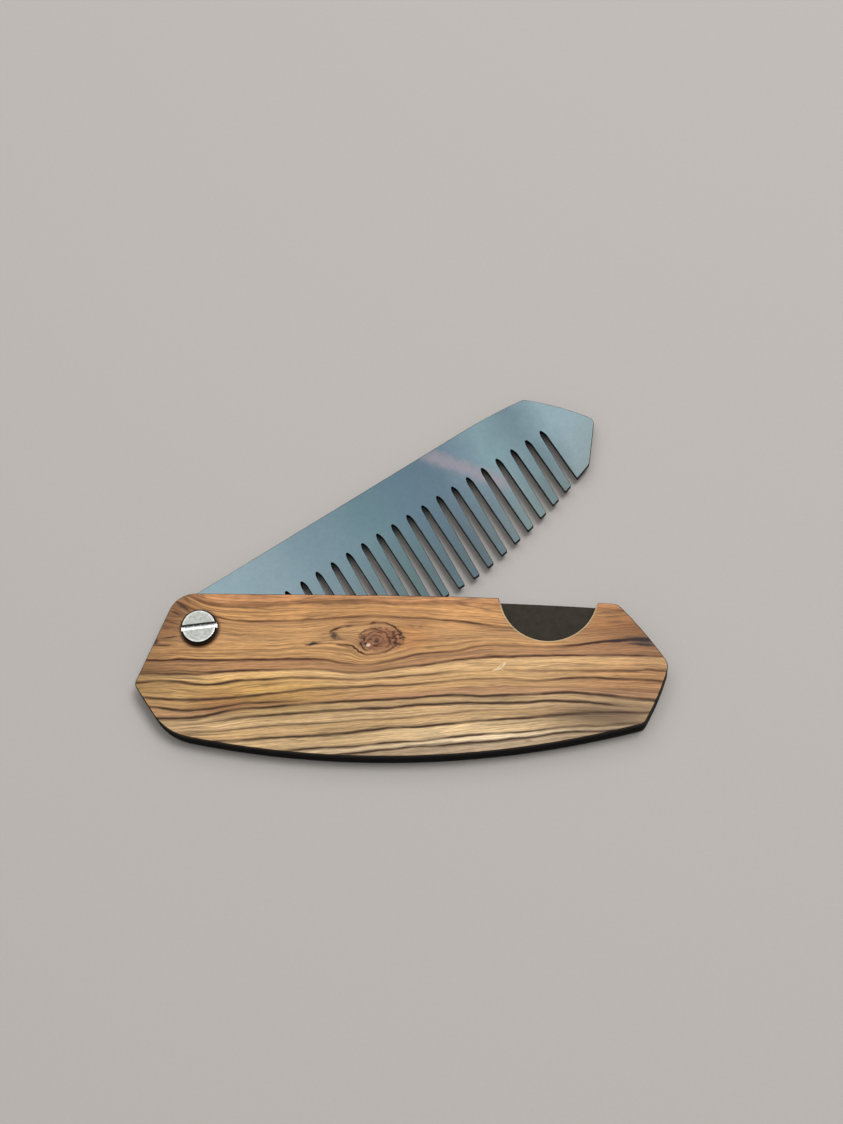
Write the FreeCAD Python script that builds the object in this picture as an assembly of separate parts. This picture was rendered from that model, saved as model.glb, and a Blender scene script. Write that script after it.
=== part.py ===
"""Folding comb: a toothed steel blade on a screw pivot between two wood-faced scales.

Frame: origin on the pivot axis at the outer face of the back scale, +X along the handle
towards its far end, +Y towards the edge the blade folds out of, +Z out of the front face.
Millimetres. The blade is stored swung out by BLADE_OPEN_DEG.
"""

import FreeCAD
import Part
import math
import os

# Handle stack, from the back face up
VENEER_T = 0.6
CORE_T = 1.2
BLADE_GAP = 1.5
BLADE_T = 1.2
PLAY = 0.02

BACK_CORE_Z = VENEER_T
GAP_Z = BACK_CORE_Z + CORE_T
FRONT_CORE_Z = GAP_Z + BLADE_GAP
FRONT_VENEER_Z = FRONT_CORE_Z + CORE_T
FRONT_FACE_Z = FRONT_VENEER_Z + VENEER_T
BLADE_Z = GAP_Z + (BLADE_GAP - BLADE_T) / 2
WASHER_T = (BLADE_GAP - BLADE_T) / 2 - PLAY

# Outer edge break on the two wood faces
FACE_BREAK = 0.2

# Finger notch in the front scale
NOTCH_X = 76.4
NOTCH_Y = 8.7
NOTCH_R = 10.6

# Blade
BLADE_OPEN_DEG = 34.8
TANG_R = 7.8
SPINE_Y = 8.4
GAP_COUNT = 19
GAP_PITCH = 4.02
FIRST_GAP_X = 16.47
GAP_TOP_Y = -2.42
GAP_TOP_RISE = 0.0115
ARCH_H = 1.85
ARCH_HALF_W = 0.6
CAP_HALF_W = 0.2
NEAR_WALL_LEAN = 0.092
FAR_WALL_LEAN = 0.028
CUT_BELOW_Y = -26.0
TOOTH_TIP_R = 0.3

# Pivot hardware
HEAD_R = 4.0
SCREW_HEAD_H = 1.6
HEAD_BREAK = 0.35
SLOT_W = 1.3
SLOT_DEPTH = 1.0
SLOT_TURN_DEG = 8.0
THREAD_R = 2.0
THREAD_FIT = 0.02
POST_R = 2.5
POST_HEAD_H = 0.8
POST_HEAD_SINK = 0.1
RUNNING_FIT = 0.05
WASHER_R = 4.6

# Spacer strip
SPACER_INSET = 0.15


def vec(point, z=0.0):
    return FreeCAD.Vector(point[0], point[1], z)


def smooth_via(here, heading, end):
    """A point half-way along the arc that leaves here along heading and stops at end."""
    chord = vec(end) - vec(here)
    half_turn = math.atan2(heading.cross(chord).z, heading.dot(chord))
    sag = chord.Length / 2 * math.tan(half_turn / 2)
    aside = FreeCAD.Vector(chord.y, -chord.x, 0).normalize()
    via = vec(here) + chord * 0.5 + aside * sag
    return (via.x, via.y)


def heading_at_end(edge, end):
    """The direction of travel where an edge stops at end."""
    at_last = (edge.valueAt(edge.LastParameter) - vec(end)).Length < 1e-6
    if at_last:
        return edge.tangentAt(edge.LastParameter)
    return edge.tangentAt(edge.FirstParameter) * -1


def outline_face(start, steps):
    """A flat face from a start point and steps.

    A step is a line to (point), an arc by (via, point), or with "smooth" for via an arc that
    carries straight on from the step before.
    """
    edges = []
    here = start
    for step in steps:
        end = step[-1]
        if len(step) == 1:
            edges.append(Part.makeLine(vec(here), vec(end)))
        else:
            via = step[0]
            if via == "smooth":
                via = smooth_via(here, heading_at_end(edges[-1], here), end)
            edges.append(Part.Arc(vec(here), vec(via), vec(end)).toShape())
        here = end
    return Part.Face(Part.Wire(edges))


def slab(face, z, thickness):
    lifted = face.copy()
    lifted.translate(FreeCAD.Vector(0, 0, z))
    return lifted.extrude(FreeCAD.Vector(0, 0, thickness))


def disc(radius, z, height):
    return Part.makeCylinder(radius, height, FreeCAD.Vector(0, 0, z))


def with_round_corners(face, corners):
    """The same face with each (x, y) corner rounded to its radius."""
    solid = slab(face, 0.0, 1.0)
    for x, y, radius in corners:
        middle = FreeCAD.Vector(x, y, 0.5)
        nearest = min(solid.Edges, key=lambda e: (e.CenterOfMass - middle).Length)
        solid = solid.makeFillet(radius, [nearest])
    return min(solid.Faces, key=lambda f: f.CenterOfMass.z)


def handle_face():
    """The silhouette both scales share."""
    sharp = outline_face(
        (-5.7, 8.35),
        [
            [(40.0, 8.35)],
            ["smooth", (91.4, 6.85)],
            [(97.0, 0.55), (102.45, -6.9)],
            [(100.2, -13.75), (97.1, -20.3)],
            [(57.0, -27.75), (-5.75, -23.85)],
            [(-13.45, -13.1)],
            [(-5.7, 8.35)],
        ],
    )
    return with_round_corners(
        sharp,
        [
            (-5.7, 8.35, 6.0),
            (91.4, 6.85, 2.4),
            (102.45, -6.9, 3.5),
            (97.1, -20.3, 1.8),
            (-5.75, -23.85, 12.6),
            (-13.45, -13.1, 1.8),
        ],
    )


def notch_cutter():
    """The round finger notch, with its two mouth corners eased outwards."""
    centre = FreeCAD.Vector(NOTCH_X, NOTCH_Y, -1.0)
    round_part = Part.makeCylinder(NOTCH_R, 12.0, centre)
    flare = outline_face(
        (NOTCH_X - NOTCH_R + 0.3, 6.2),
        [
            [(NOTCH_X - NOTCH_R - 0.45, 8.2)],
            [(NOTCH_X - NOTCH_R - 0.45, 12.0)],
            [(NOTCH_X + NOTCH_R + 0.25, 12.0)],
            [(NOTCH_X + NOTCH_R + 0.25, 7.2)],
            [(NOTCH_X + NOTCH_R - 0.3, 6.2)],
            [(NOTCH_X - NOTCH_R + 0.3, 6.2)],
        ],
    )
    return round_part.fuse(slab(flare, -1.0, 12.0)).removeSplitter()


def face_rim_edges(shape, z):
    """Edges lying at height z, without the pivot bore's."""
    rim = []
    for edge in shape.Edges:
        box = edge.BoundBox
        near_pivot = edge.CenterOfMass.Length < 2 * HEAD_R
        if abs(box.ZMin - z) < 1e-6 and abs(box.ZMax - z) < 1e-6 and not near_pivot:
            rim.append(edge)
    return rim


def front_core():
    core = slab(handle_face(), FRONT_CORE_Z, CORE_T)
    return core.cut(notch_cutter()).cut(disc(POST_R + RUNNING_FIT, 0, 10))


def front_veneer():
    veneer = slab(handle_face(), FRONT_VENEER_Z, VENEER_T)
    veneer = veneer.cut(notch_cutter()).cut(disc(POST_R + RUNNING_FIT, 0, 10))
    return veneer.makeChamfer(FACE_BREAK, face_rim_edges(veneer, FRONT_FACE_Z))


def post_recess():
    """Where the post's head sits in the back scale, and its barrel goes through."""
    head = disc(HEAD_R + RUNNING_FIT, -1.0, 1.0 + POST_HEAD_SINK + POST_HEAD_H)
    return head.fuse(disc(POST_R + RUNNING_FIT, -1.0, 10))


def back_core():
    return slab(handle_face(), BACK_CORE_Z, CORE_T).cut(post_recess())


def back_veneer():
    veneer = slab(handle_face(), 0.0, VENEER_T)
    veneer = veneer.makeChamfer(FACE_BREAK, face_rim_edges(veneer, 0.0))
    return veneer.cut(post_recess())


def spacer():
    """The strip along the lower edge. Its two ends stop the blade, folded and fully open."""
    inner = outline_face(
        (-14.0, -8.5),
        [
            [(-9.2, -8.5)],
            [(-8.4, -8.8), (-8.1, -9.6)],
            [(-6.6, -16.2), (-1.0, -20.6)],
            [(6.0, -22.4), (13.0, -23.3)],
            [(36.0, -24.6), (57.0, -24.4)],
            [(76.0, -21.6), (93.0, -16.9)],
            [(104.0, -16.2)],
            [(104.0, 12.0)],
            [(-14.0, 12.0)],
            [(-14.0, -8.5)],
        ],
    )
    raised = handle_face()
    raised.translate(FreeCAD.Vector(0, SPACER_INSET, 0))
    strip = handle_face().common(raised).cut(inner)
    return slab(strip.Faces[0], GAP_Z, BLADE_GAP)


def blade_face():
    """The blade's silhouette before the tooth gaps are cut, in its own frame, spine along +X."""
    sharp = outline_face(
        (1.0, SPINE_Y),
        [
            [(74.0, SPINE_Y)],
            ["smooth", (90.0, 7.35)],
            [(95.8, 1.03), (100.6, -6.0)],
            [(93.35, -14.6)],
            [(78.0, -19.25), (62.0, -22.65)],
            ["smooth", (52.0, -23.25)],
            [(34.0, -22.9), (13.0, -21.4)],
            [(-5.05, -5.95)],
            [(-TANG_R, 0.0), (-3.9, 6.755)],
            ["smooth", (1.0, SPINE_Y)],
        ],
    )
    return with_round_corners(
        sharp,
        [
            (90.0, 7.35, 2.0),
            (100.6, -6.0, 1.8),
            (93.35, -14.6, 2.0),
            (13.0, -21.4, 2.5),
        ],
    )


def tooth_gap(x):
    """One gap: a narrow round-topped arch with its walls leaning apart towards the tips."""
    top = GAP_TOP_Y + GAP_TOP_RISE * (x - FIRST_GAP_X)
    spring = top - ARCH_H
    drop = spring - CUT_BELOW_Y
    near_end = (x - ARCH_HALF_W - NEAR_WALL_LEAN * drop, CUT_BELOW_Y)
    far_end = (x + ARCH_HALF_W - FAR_WALL_LEAN * drop, CUT_BELOW_Y)
    shoulder = 0.7 * ARCH_HALF_W
    shoulder_y = top - 0.36 * ARCH_H
    cap_y = top - 0.12
    return outline_face(
        near_end,
        [
            [(x - ARCH_HALF_W, spring)],
            [(x - shoulder, shoulder_y), (x - CAP_HALF_W, cap_y)],
            [(x, top), (x + CAP_HALF_W, cap_y)],
            [(x + shoulder, shoulder_y), (x + ARCH_HALF_W, spring)],
            [far_end],
            [near_end],
        ],
    )


def tooth_corner_edges(blade, x_from):
    """The upright edges at the free end of every tooth."""
    corners = []
    for edge in blade.Edges:
        box = edge.BoundBox
        upright = box.ZLength > BLADE_T * 0.9 and box.XLength < 1e-6 and box.YLength < 1e-6
        at_tip = box.YMax < -15.0 and x_from < box.XMin < 90.0
        if upright and at_tip:
            corners.append(edge)
    return corners


def comb_blade():
    profile = blade_face()
    for index in range(GAP_COUNT):
        profile = profile.cut(tooth_gap(FIRST_GAP_X + index * GAP_PITCH))
    blade = slab(profile.Faces[0], BLADE_Z, BLADE_T)
    blade = blade.makeFillet(TOOTH_TIP_R, tooth_corner_edges(blade, 13.9))
    blade = blade.cut(disc(POST_R + RUNNING_FIT, 0, 10))
    blade.rotate(FreeCAD.Vector(0, 0, 0), FreeCAD.Vector(0, 0, 1), BLADE_OPEN_DEG)
    return blade


def pivot_screw():
    """Slotted cheese head on the front face, threaded shank inside the post."""
    head = disc(HEAD_R, FRONT_FACE_Z, SCREW_HEAD_H)
    top_z = FRONT_FACE_Z + SCREW_HEAD_H
    rim = [edge for edge in head.Edges if abs(edge.BoundBox.ZMin - top_z) < 1e-6]
    head = head.makeChamfer(HEAD_BREAK, rim)
    slot = Part.makeBox(4 * HEAD_R, SLOT_W, SLOT_DEPTH + 1.0)
    slot.translate(FreeCAD.Vector(-2 * HEAD_R, -SLOT_W / 2, top_z - SLOT_DEPTH))
    slot.rotate(FreeCAD.Vector(0, 0, 0), FreeCAD.Vector(0, 0, 1), SLOT_TURN_DEG)
    shank_z = POST_HEAD_SINK + POST_HEAD_H + 0.6
    shank = disc(THREAD_R, shank_z, FRONT_FACE_Z - shank_z)
    return head.cut(slot).fuse(shank).removeSplitter()


def pivot_post():
    """Flanged barrel nut: head let into the back scale, barrel as the blade's bearing."""
    head = disc(HEAD_R, POST_HEAD_SINK, POST_HEAD_H)
    barrel_z = POST_HEAD_SINK + POST_HEAD_H
    barrel = disc(POST_R, barrel_z, FRONT_FACE_Z - 0.2 - barrel_z)
    thread = disc(THREAD_R + THREAD_FIT, barrel_z + 0.2, 10)
    return head.fuse(barrel).cut(thread).removeSplitter()


def washer(z):
    return disc(WASHER_R, z, WASHER_T).cut(disc(POST_R + RUNNING_FIT, 0, 10))


def front_washer():
    return washer(FRONT_CORE_Z - WASHER_T)


def back_washer():
    return washer(GAP_Z)


SUB_PARTS = {
    "front_veneer": front_veneer,
    "front_core": front_core,
    "back_core": back_core,
    "back_veneer": back_veneer,
    "spacer": spacer,
    "comb_blade": comb_blade,
    "pivot_screw": pivot_screw,
    "pivot_post": pivot_post,
    "front_washer": front_washer,
    "back_washer": back_washer,
}

os.makedirs("parts", exist_ok=True)
for node, build in SUB_PARTS.items():
    shape = build()
    if not shape.isValid():
        raise RuntimeError(node + " is not a valid solid")
    shape.exportStep("parts/" + node + ".step")
    print(node, round(shape.Volume, 2), "mm3", len(shape.Solids), "solid")
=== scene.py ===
import math

import bmesh
import bpy
import numpy as np
from mathutils import Matrix, Vector


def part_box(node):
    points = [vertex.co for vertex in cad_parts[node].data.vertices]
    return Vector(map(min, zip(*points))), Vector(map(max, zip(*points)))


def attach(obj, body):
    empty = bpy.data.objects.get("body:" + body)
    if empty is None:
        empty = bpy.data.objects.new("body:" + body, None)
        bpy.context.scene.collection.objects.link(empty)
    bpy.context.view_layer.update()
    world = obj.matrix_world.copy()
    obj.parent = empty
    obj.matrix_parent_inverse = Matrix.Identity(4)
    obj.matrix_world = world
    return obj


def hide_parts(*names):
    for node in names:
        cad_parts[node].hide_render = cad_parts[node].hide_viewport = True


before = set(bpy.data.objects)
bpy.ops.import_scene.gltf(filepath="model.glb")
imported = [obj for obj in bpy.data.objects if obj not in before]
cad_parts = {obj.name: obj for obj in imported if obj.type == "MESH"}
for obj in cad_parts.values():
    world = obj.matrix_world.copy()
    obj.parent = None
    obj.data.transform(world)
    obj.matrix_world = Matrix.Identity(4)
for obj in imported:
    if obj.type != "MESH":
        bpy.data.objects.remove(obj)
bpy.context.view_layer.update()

# ---------------------------------------------------------------------------------------------
# Camera. It looks down at the comb from the side of its lower edge, 23 degrees off the vertical,
# from about 0.46 m away, with a lens long enough to keep the handle's edges nearly straight.
CAMERA_PLACE = Vector((0.0848, -0.1584, 0.4289))
CAMERA_AIM = Vector((0.0478, 0.0184, 0.0))
CAMERA_UP = Vector((-0.0384, 1.0, 0.0))
CAMERA_LENS_MM = 66.7

camera_data = bpy.data.cameras.new("camera")
camera_data.lens = CAMERA_LENS_MM
camera = bpy.data.objects.new("camera", camera_data)
behind = (CAMERA_PLACE - CAMERA_AIM).normalized()
rightward = CAMERA_UP.cross(behind).normalized()
turned = Matrix((rightward, behind.cross(rightward), behind)).transposed()
camera.matrix_world = Matrix.Translation(CAMERA_PLACE) @ turned.to_4x4()
bpy.context.scene.collection.objects.link(camera)
bpy.context.scene.camera = camera

# ---------------------------------------------------------------------------------------------
# Studio. The comb lies on a pale matte table top. A wide softbox hangs over it and a smaller
# lamp stands to the right, which gives each edge a short soft shadow on its left. The room is
# brighter overhead than at eye level, so steep metal edges look dark.
MM = 0.001
FLOOR_HALF = 1.5
FLOOR_LEVEL = -0.02 * MM  # a hair under the comb, so the two flat faces never fight
FLOOR_COLOUR = "B9B4AF"
PAPER_GRAIN_MM = 0.8
ROOM_LIGHT_LOW = 0.08
ROOM_LIGHT_HIGH = 0.42
SOFTBOX = {"size": 1.25, "power": 5.4, "place": (-0.04, 0.42, 1.0), "aim": (0.04, 0.02, 0.0)}
SIDE_LAMP = {"size": 0.5, "power": 8.0, "place": (0.42, 0.26, 1.25), "aim": (0.04, 0.02, 0.0)}


def linear(colour):
    """An sRGB hex colour as linear red, green, blue and alpha."""
    parts = np.array([int(colour[i:i + 2], 16) for i in (0, 2, 4)]) / 255
    curve = np.where(parts <= 0.04045, parts / 12.92, ((parts + 0.055) / 1.055) ** 2.4)
    return (*curve.tolist(), 1.0)


def add(tree, kind, inputs=None, out=0, **settings):
    """Adds a node, sets its properties, fills its sockets, and gives back one of its outputs."""
    made = tree.nodes.new(kind)
    for name, value in settings.items():
        setattr(made, name, value)
    for key, value in (inputs or {}).items():
        if isinstance(value, bpy.types.NodeSocket):
            tree.links.new(value, made.inputs[key])
        else:
            made.inputs[key].default_value = value
    return made.outputs[out]


def new_material(name, **constants):
    """A material with its node tree and its Principled shader, whose constant sockets are set here."""
    material = bpy.data.materials.new(name)
    material.use_nodes = True
    shader = material.node_tree.nodes["Principled BSDF"]
    for socket, value in constants.items():
        shader.inputs[socket.replace("_", " ")].default_value = value
    return material, material.node_tree, shader


def connect(tree, shader, **sockets):
    """Links outputs to the shader's sockets, named with _ for each space."""
    for name, output in sockets.items():
        tree.links.new(output, shader.inputs[name.replace("_", " ")])


def coated_paper():
    """Matte coated paper: an even pale grey with a faint fibre grain and no gloss to speak of."""
    material, tree, shader = new_material("coated_paper", Roughness=0.85)
    place = add(tree, "ShaderNodeTexCoord", out="Object")
    grain = add(
        tree, "ShaderNodeTexNoise",
        {"Vector": place, "Scale": 1 / (PAPER_GRAIN_MM * MM), "Detail": 3.0},
    )
    shade = add(tree, "ShaderNodeMapRange", {"Value": grain, "To Min": 0.97, "To Max": 1.03})
    colour = add(
        tree, "ShaderNodeMix", {0: 1.0, 6: linear(FLOOR_COLOUR), 7: shade},
        out=2, data_type="RGBA", blend_type="MULTIPLY",
    )
    connect(tree, shader, Base_Color=colour)
    return material


floor_mesh = bpy.data.meshes.new("table_top")
corners = FLOOR_HALF * np.array([(-1, -1, 0), (1, -1, 0), (1, 1, 0), (-1, 1, 0)], float)
corners[:, 2] = FLOOR_LEVEL
floor_mesh.from_pydata(corners.tolist(), [], [(0, 1, 2, 3)])
floor_mesh.materials.append(coated_paper())
floor = bpy.data.objects.new("table_top", floor_mesh)
bpy.context.scene.collection.objects.link(floor)

for lamp_name, lamp in (("softbox", SOFTBOX), ("side_lamp", SIDE_LAMP)):
    lamp_data = bpy.data.lights.new(lamp_name, "AREA")
    lamp_data.size = lamp["size"]
    lamp_data.energy = lamp["power"]
    lamp_object = bpy.data.objects.new(lamp_name, lamp_data)
    lamp_object.location = lamp["place"]
    away = Vector(lamp["place"]) - Vector(lamp["aim"])
    lamp_object.rotation_euler = away.to_track_quat("Z", "Y").to_euler()
    bpy.context.scene.collection.objects.link(lamp_object)

room = bpy.data.worlds.new("room")
room.use_nodes = True
room_way = add(room.node_tree, "ShaderNodeTexCoord", out="Generated")
height = add(room.node_tree, "ShaderNodeSeparateXYZ", {0: room_way}, out="Z")
room_light = add(
    room.node_tree, "ShaderNodeMapRange",
    {"Value": height, "To Min": ROOM_LIGHT_LOW, "To Max": ROOM_LIGHT_HIGH},
)
room.node_tree.links.new(room_light, room.node_tree.nodes["Background"].inputs["Strength"])
room.node_tree.nodes["Background"].inputs["Color"].default_value = (1.0, 1.0, 1.0, 1.0)
bpy.context.scene.world = room
bpy.context.scene.view_settings.view_transform = "Standard"

# ---------------------------------------------------------------------------------------------
# Wood faces, back and front. Each is a 0.6 mm sheet of tan wood with wandering dark growth
# lines, cut out with a laser that scorched its rim, oiled, and glued to a black core.
WOOD_X = (-15.0, 105.0)
WOOD_Y = (-34.0, 14.0)
# Each growth line from the upper edge down: its half width in mm, and its points along the
# handle as x mm, y mm and how dark it is there. A line with no darkness only leads the fibres.
GROWTH_LINES = (
    (1.00, ((-14, 12, 0.3), (-3, 8, 0.55), (1, 6.2, 0.55), (6, 5.7, 0.5), (17, 5.8, 0.4),
            (28, 6.7, 0.5), (46, 6.6, 0.4), (67, 6.2, 0.3), (104, 5, 0.2))),
    (0.54, ((-14, 8.5, 0.2), (-6, 6.4, 0.7), (-2.5, 4.7, 0.7), (5, 2.4, 0.65), (11, 1.8, 0.7),
            (17, 2.0, 0.6), (28, 2.6, 0.6), (39, 3.4, 0.6), (46, 3.2, 0.6), (54, 2.6, 0.7),
            (66, 1.3, 0.6), (75, 0.6, 0.2), (104, 3, 0.1))),
    (0.38, ((-14, 1.5, 0.3), (0, -0.5, 0.2), (15, -1.0, 0.0), (25, -0.6, 0.1), (33, 0.9, 0.0),
            (39, 1.7, 0.0), (46, 0.8, 0.0), (54, 0.4, 0.0), (66, 0, 0.0), (80, -0.8, 0.0),
            (92, 0.6, 0.1), (104, 1.5, 0.1))),
    (0.42, ((-14, -4.0, 0.4), (-3, -3.8, 0.1), (15, -3.7, 0.1), (25, -3.2, 0.25),
            (33, -3.5, 0.1), (36.5, -5.1, 0.0), (40, -5.5, 0.0), (43.5, -4.4, 0.1),
            (48, -3.2, 0.1), (58, -2.2, 0.0), (70, -1.6, 0.0), (82, -1.8, 0.0), (104, 0.2, 0.1))),
    (0.54, ((-14, -7.6, 0.8), (8, -7.2, 0.9), (26, -6.8, 0.8), (33, -7.5, 0.5), (37, -8.1, 0.35),
            (42, -7.2, 0.5), (48, -5.6, 0.7), (56, -4.5, 0.6), (66, -3.0, 0.35), (74, -3.2, 0.3),
            (82, -2.8, 0.8), (90, -1.7, 0.95), (104, -1.0, 0.9))),
    (0.57, ((-14, -10.7, 0.85), (0, -10.5, 0.85), (10, -9.8, 0.8), (24, -9.1, 0.5),
            (36, -9.6, 0.55), (46, -8.3, 0.7), (60, -6.2, 0.8), (72, -5.4, 0.85), (84, -5.0, 0.8),
            (92, -5.0, 0.8), (104, -5.5, 0.75))),
    (0.63, ((-14, -12.8, 0.7), (-5, -12.5, 0.7), (2, -12.9, 0.8), (10, -12.0, 0.75),
            (22, -11.1, 0.7), (36, -11.2, 0.6), (50, -9.9, 0.6), (60, -8.9, 0.3),
            (75, -8.7, 0.45), (90, -8.6, 0.6), (104, -8.5, 0.6))),
    (0.57, ((-14, -16.0, 0.6), (2, -16.5, 0.8), (10, -15.6, 0.8), (20, -14.2, 0.7),
            (30, -13.2, 0.7), (46, -12.4, 0.65), (60, -10.9, 0.45), (74, -10.9, 0.6),
            (86, -10.2, 0.8), (104, -11.3, 0.6))),
    (0.60, ((-14, -18.0, 0.6), (2, -18.6, 0.85), (7, -17.9, 0.8), (12, -17.0, 0.8),
           (20, -16.5, 0.6), (27, -16.0, 0.2), (40, -14.6, 0.05), (60, -12.9, 0.15),
           (80, -12.4, 0.3), (92, -12.8, 0.4), (104, -13.4, 0.3))),
    (0.63, ((-14, -20.6, 0.5), (0, -20.4, 0.9), (6, -19.4, 0.9), (12, -18.3, 0.8),
            (20, -17.5, 0.8), (27, -16.7, 0.85), (41, -15.8, 0.9), (56, -14.8, 0.85),
            (70, -14.2, 0.9), (84, -13.8, 0.95), (92, -14.5, 0.9), (104, -15.2, 0.8))),
    (0.63, ((-14, -24.0, 0.0), (0, -22.0, 0.1), (10, -20.6, 0.5), (20, -19.4, 0.85),
            (30, -18.6, 0.9), (46, -17.2, 0.95), (60, -16.4, 0.9), (82, -15.8, 0.9),
            (90, -16.2, 0.7), (95, -16.7, 0.1), (104, -17.0, 0.1))),
    (0.45, ((-14, -25.0, 0.2), (2, -23.6, 0.5), (9, -23.0, 0.5), (21, -22.0, 0.6),
           (32, -21.0, 0.4), (45, -19.8, 0.6), (56, -18.6, 0.5), (66, -17.7, 0.2),
           (80, -17.2, 0.1), (104, -18.2, 0.2))),
    (0.60, ((-14, -27.0, 0.5), (4, -25.8, 0.75), (18, -24.8, 0.8), (30, -23.8, 0.9),
           (46, -21.8, 0.9), (60, -20.6, 0.85), (70, -19.6, 0.85), (79, -18.6, 0.8),
           (90, -18.0, 0.75), (104, -17.5, 0.7))),
    (0.57, ((-14, -31.0, 0.5), (8, -28.9, 0.7), (20, -27.8, 0.8), (39, -26.0, 0.85),
            (56, -24.2, 0.8), (66, -23.0, 0.75), (77, -21.7, 0.7), (88, -20.9, 0.6),
            (104, -19.8, 0.6))),
    (0.60, ((-14, -34.0, 0.5), (30, -28.8, 0.8), (41, -27.3, 0.85), (60, -25.4, 0.85),
           (73, -23.5, 0.8), (85, -22.2, 0.8), (104, -21.6, 0.7))),
)
LINE_REACH_MM = 3.0  # how far to each side of a line its wide ramp reaches
BAND_EDGE_MM = 0.45  # and its narrow ramp
# How the lines waver: the length and breadth of a wave, and how far it sways them, in mm.
WAVERING_MM = ((13.0, 6.0, 1.1), (3.2, 1.6, 0.3))
# The tone of the wood between two growth lines, from below the lowest line to above the highest.
BAND_TONES = (
    "A78C6C", "CBAF88", "C8A677", "C49E6D", "CCA879", "BC9A6D", "C09165", "CB9D67",
    "D3A76F", "DFB37B", "B28255", "C8965E", "C0905C", "BB8A57", "C9935A", "CD915D",
)
# Broad soft stains, and one pale patch of painted sheen: x mm, y mm, half length mm,
# half height mm, and what red, green and blue are multiplied by in the middle.
STAINS_AND_SHEEN = (
    (-13, 3, 19, 14, (0.42, 0.35, 0.33)), (-14, -12, 18, 9, (0.62, 0.6, 0.5)),
    (101, 1, 30, 10, (0.52, 0.4, 0.3)), (99, -10, 28, 7, (0.72, 0.6, 0.52)),
    (89, -18.6, 22, 4.8, (0.36, 0.33, 0.33)), (14, -15, 26, 8, (0.9, 0.86, 0.62)),
    # The pale blue-grey patch low on the handle, at 60 mm, is painted sheen.
    (60, -23.5, 26, 6.5, (1.42, 1.5, 1.62)), (44, -17, 22, 5, (1.12, 1.08, 1.04)),
    (46, -1.5, 9, 4.5, (1.0, 0.84, 0.72)), (6, -16.9, 11, 4.2, (0.72, 0.63, 0.62)),
    (6, -22.3, 17, 2.4, (1.24, 1.24, 1.24)), (20, -1.5, 12, 5, (1.16, 1.18, 1.18)),
    (54, 1.2, 10, 2.6, (1.16, 1.16, 1.14)),
)
# Lines that wrap round the knot, listed like the growth lines but over a shorter span.
KNOT_X = (23.0, 48.0)
KNOT_Y = (-8.0, 4.0)
KNOT_LINES = (
    (0.5, ((23, -1, 0.0), (28.3, -0.8, 0.0), (28.9, -0.35, 0.9), (29.8, 0.1, 1.0), (30.8, 0.6, 0.9),
            (31.7, 0.85, 0.45), (32.8, 1.0, 0.8), (34, 1.1, 0.35), (36, 1.35, 0.3), (37.4, 1.6, 0.5),
            (38.3, 1.9, 0.9), (39.3, 1.8, 0.55), (40.6, 1.8, 0.65), (42, 1.4, 0.8), (43.1, 0.7, 1.0),
            (43.9, -0.1, 1.0), (44.6, -0.9, 0.7), (45.3, -1.7, 0.0), (48, -2, 0.0))),
    (0.52, ((23, -3.2, 0.0), (30, -3.2, 0.0), (31, -3.35, 0.7), (32.6, -3.3, 0.7), (33.8, -3.6, 0.85),
            (34.8, -4.3, 1.0), (35.7, -5.0, 1.0), (36.7, -5.5, 0.6), (38.2, -5.5, 0.5),
            (40, -5.25, 0.4), (41.6, -4.6, 0.65), (42.7, -3.9, 0.7), (43.7, -3.2, 0.7),
            (44.7, -2.4, 0.0), (48, -2, 0.0))),
    (0.44, ((23, -2, 0.0), (35.1, -1.6, 0.0), (35.6, -0.6, 0.85), (36.4, 0.0, 0.9), (37.6, 0.35, 0.55),
           (38.7, 0.3, 0.85), (39.7, 0.1, 0.85), (40.7, -0.2, 0.35), (41.4, -0.9, 0.5),
           (41.9, -1.9, 0.75), (42.3, -2.9, 0.8), (42.9, -3.6, 0.0), (48, -4, 0.0))),
    (0.42, ((23, -1, 0.0), (35.2, -1.9, 0.0), (35.6, -3.1, 0.8), (36.2, -4.1, 0.85), (37.2, -4.6, 0.4),
            (38.1, -4.2, 0.3), (38.6, -3.5, 0.7), (39.3, -3.3, 0.65), (40.0, -2.9, 0.5),
            (40.5, -2.2, 0.35), (41.1, -1.6, 0.0), (48, -1, 0.0))),
)
KNOT = {"place": (39.9, -2.0), "half": (5.0, 3.3), "tone": "8C5438", "fill": 0.6,
        "heart": (39.2, -2.4), "heart_shape": (1.35, 1.0), "rings_mm": 0.95, "ring": "4E2417",
        "fleck": "E6CDB0", "fleck_place": (37.4, -3.4), "fleck_half": (0.45, 0.38)}
# How far slow noise moves the knot's outline, and its lines and the smudges, in mm.
RAGGED_MM = (2.4, 1.8)
DRIFT_MM = (1.3, 0.45)
JITTER_PER_MM = 0.9  # waves of the slow noise in each millimetre
RING_PATCHES_PER_MM = 0.8
CRACKS_PER_MM = 1.5
# Dark broken networks at the knot's sides: x mm, y mm, half length mm, half height mm, darkness.
KNOT_NETS = ((43.3, -1.7, 2.2, 2.9, 1.0), (36.2, -2.7, 1.3, 2.6, 0.8))
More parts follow.
